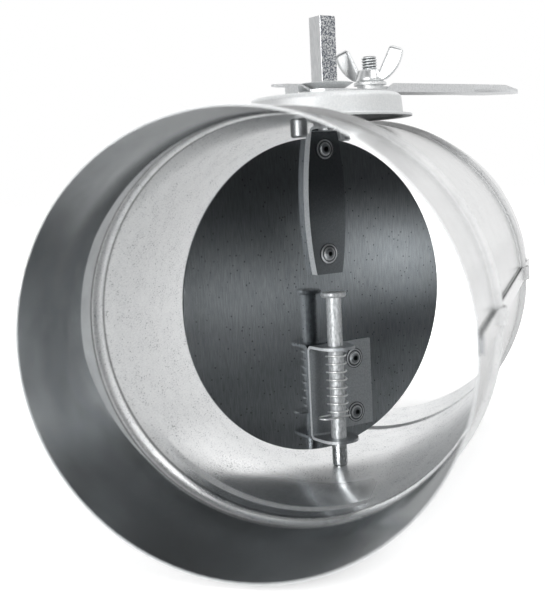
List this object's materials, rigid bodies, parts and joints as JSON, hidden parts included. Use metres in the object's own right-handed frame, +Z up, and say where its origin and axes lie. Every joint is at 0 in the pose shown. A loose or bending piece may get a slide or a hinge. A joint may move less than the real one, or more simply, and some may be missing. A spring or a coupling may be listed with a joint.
{
  "type": "round air damper",
  "caption": "Round duct air damper: beaded galvanised sleeve with a flat disc blade turned by a lever on a square rod, locked by a wing nut and seated below by a spring pin.",
  "frame": {"origin": "centre of the inlet collar's rim, on the duct's axis", "axes": "+Y along the duct from inlet to outlet, +Z up along the blade's pivot axis, +X to the right seen from the inlet, towards the lock seam"},
  "size_m": [0.1866, 0.298, 0.233],
  "materials": {
    "galvanised_sheet": "hot-dip galvanised, fine spangle, satin",
    "pressed_galvanised": "galvanised, pressed, satin",
    "rolled_blade": "bright rolled galvanised steel, near mirror with rolling grain",
    "stamped_bracket": "galvanised, stamped, satin",
    "zinc_rod": "zinc, coarse crystalline",
    "stamped_lever": "galvanised, stamped, satin",
    "plated_washer": "zinc plated",
    "plated_screw": "zinc plated",
    "bright_nut": "bright nickel",
    "blind_rivet": "plated steel",
    "plated_pin": "zinc plated, turned",
    "spring_wire": "bright drawn wire"
  },
  "bodies": {
    "casing": {"casing": "galvanised_sheet", "dial_plate": "pressed_galvanised", "dial_rivet_front": "blind_rivet", "dial_rivet_rear": "blind_rivet"},
    "blade": {"blade": "rolled_blade", "rod_bracket": "stamped_bracket", "rod_bracket_rivet_upper": "blind_rivet", "rod_bracket_rivet_lower": "blind_rivet", "square_rod": "zinc_rod", "hub_washer": "plated_washer", "lever_washer": "plated_washer", "lever": "stamped_lever", "lever_retainer": "plated_washer", "lock_screw": "plated_screw", "lock_washer": "plated_washer", "nut_washer": "plated_washer", "pin_bracket": "stamped_bracket", "pin_bracket_rivet_upper": "blind_rivet", "pin_bracket_rivet_lower": "blind_rivet", "pin_spring": "spring_wire"},
    "spring_pin": {"spring_pin": "plated_pin", "pin_clip": "spring_wire"},
    "wing_nut": {"wing_nut": "bright_nut"}
  },
  "joints": [
    {"name": "blade_turn", "type": "hinge", "parent": "casing", "child": "blade", "pos_m": [0, 0.162, 0], "axis": [0, 0, 1], "range_deg": [-50, 40]},
    {"name": "pin_lift", "type": "slide", "parent": "blade", "child": "spring_pin", "axis": [0, 0, 1], "range_m": [0, 0.007], "stiffness_N_per_m": 980, "springref_m": -0.006, "deforming": ["pin_spring"]},
    {"name": "nut_turn", "type": "hinge", "parent": "blade", "child": "wing_nut", "pos_m": [0.01877, 0.18437, 0.107], "axis": [0, 0, 1], "continuous": true}
  ]
}
